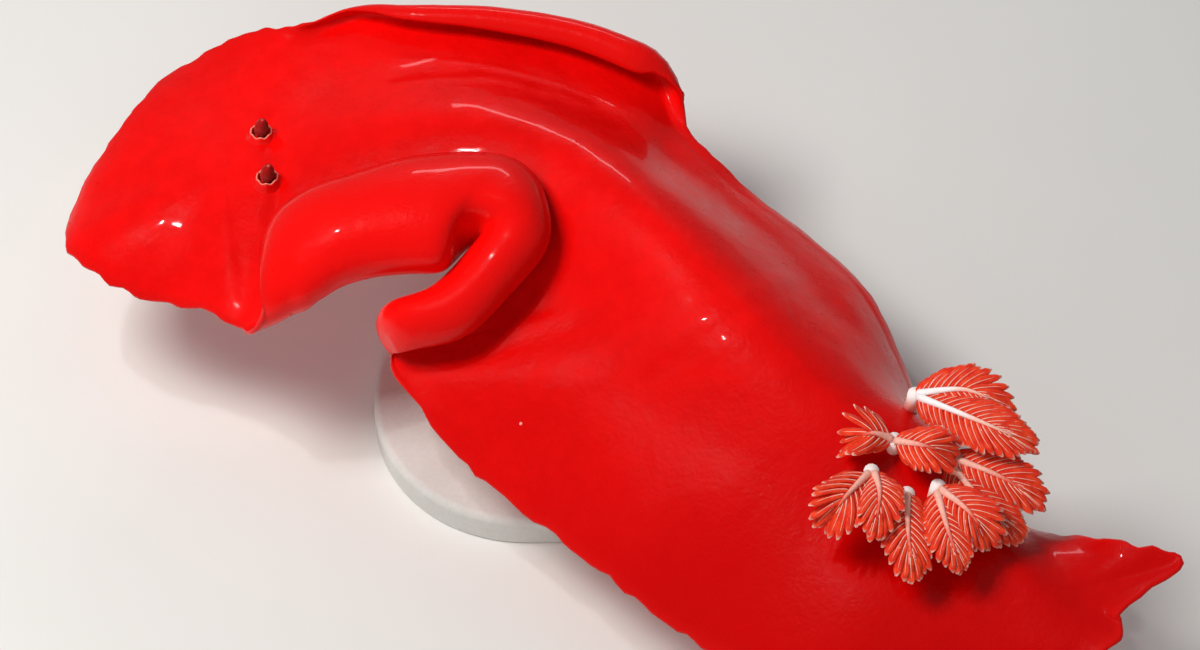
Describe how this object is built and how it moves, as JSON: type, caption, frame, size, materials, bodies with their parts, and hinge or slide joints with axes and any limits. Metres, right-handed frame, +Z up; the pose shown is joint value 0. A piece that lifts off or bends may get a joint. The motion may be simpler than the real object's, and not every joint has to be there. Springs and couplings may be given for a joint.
{
  "type": "spanish dancer nudibranch model",
  "caption": "Life-size model of a swimming spanish dancer sea slug: flat red mantle with both margins rolled, gill plumes near the tail, held on a small stand.",
  "frame": {"origin": "middle of the underside of the stand's base", "axes": "+X towards the animal's tail, -X towards its head, +Y towards its right side, +Z up, out of its back"},
  "size_m": [0.2566, 0.1894, 0.0737],
  "materials": {
    "skin": "wet gloss",
    "sole": "wet satin",
    "gill": "wet satin",
    "stand": "satin paint",
    "rod": "brushed"
  },
  "bodies": {
    "root": {"head": "skin", "back_front": "skin", "back_middle": "skin", "back_rear": "skin", "mantle_front": "skin", "mantle_left_fold": "skin", "mantle_left": "skin", "mantle_rear": "skin", "mantle_right": "skin", "mantle_right_fold": "skin", "oral_tentacle_left": "skin", "oral_tentacle_right": "skin", "rhinophore_left": "skin", "rhinophore_right": "skin", "foot_front": "sole", "foot_middle": "sole", "tail": "sole", "gill_1": "gill", "gill_2": "gill", "gill_3": "gill", "gill_4": "gill", "gill_5": "gill", "gill_6": "gill", "stand_base": "stand", "stand_rod_front": "rod", "stand_rod_rear": "rod"}
  },
  "joints": []
}
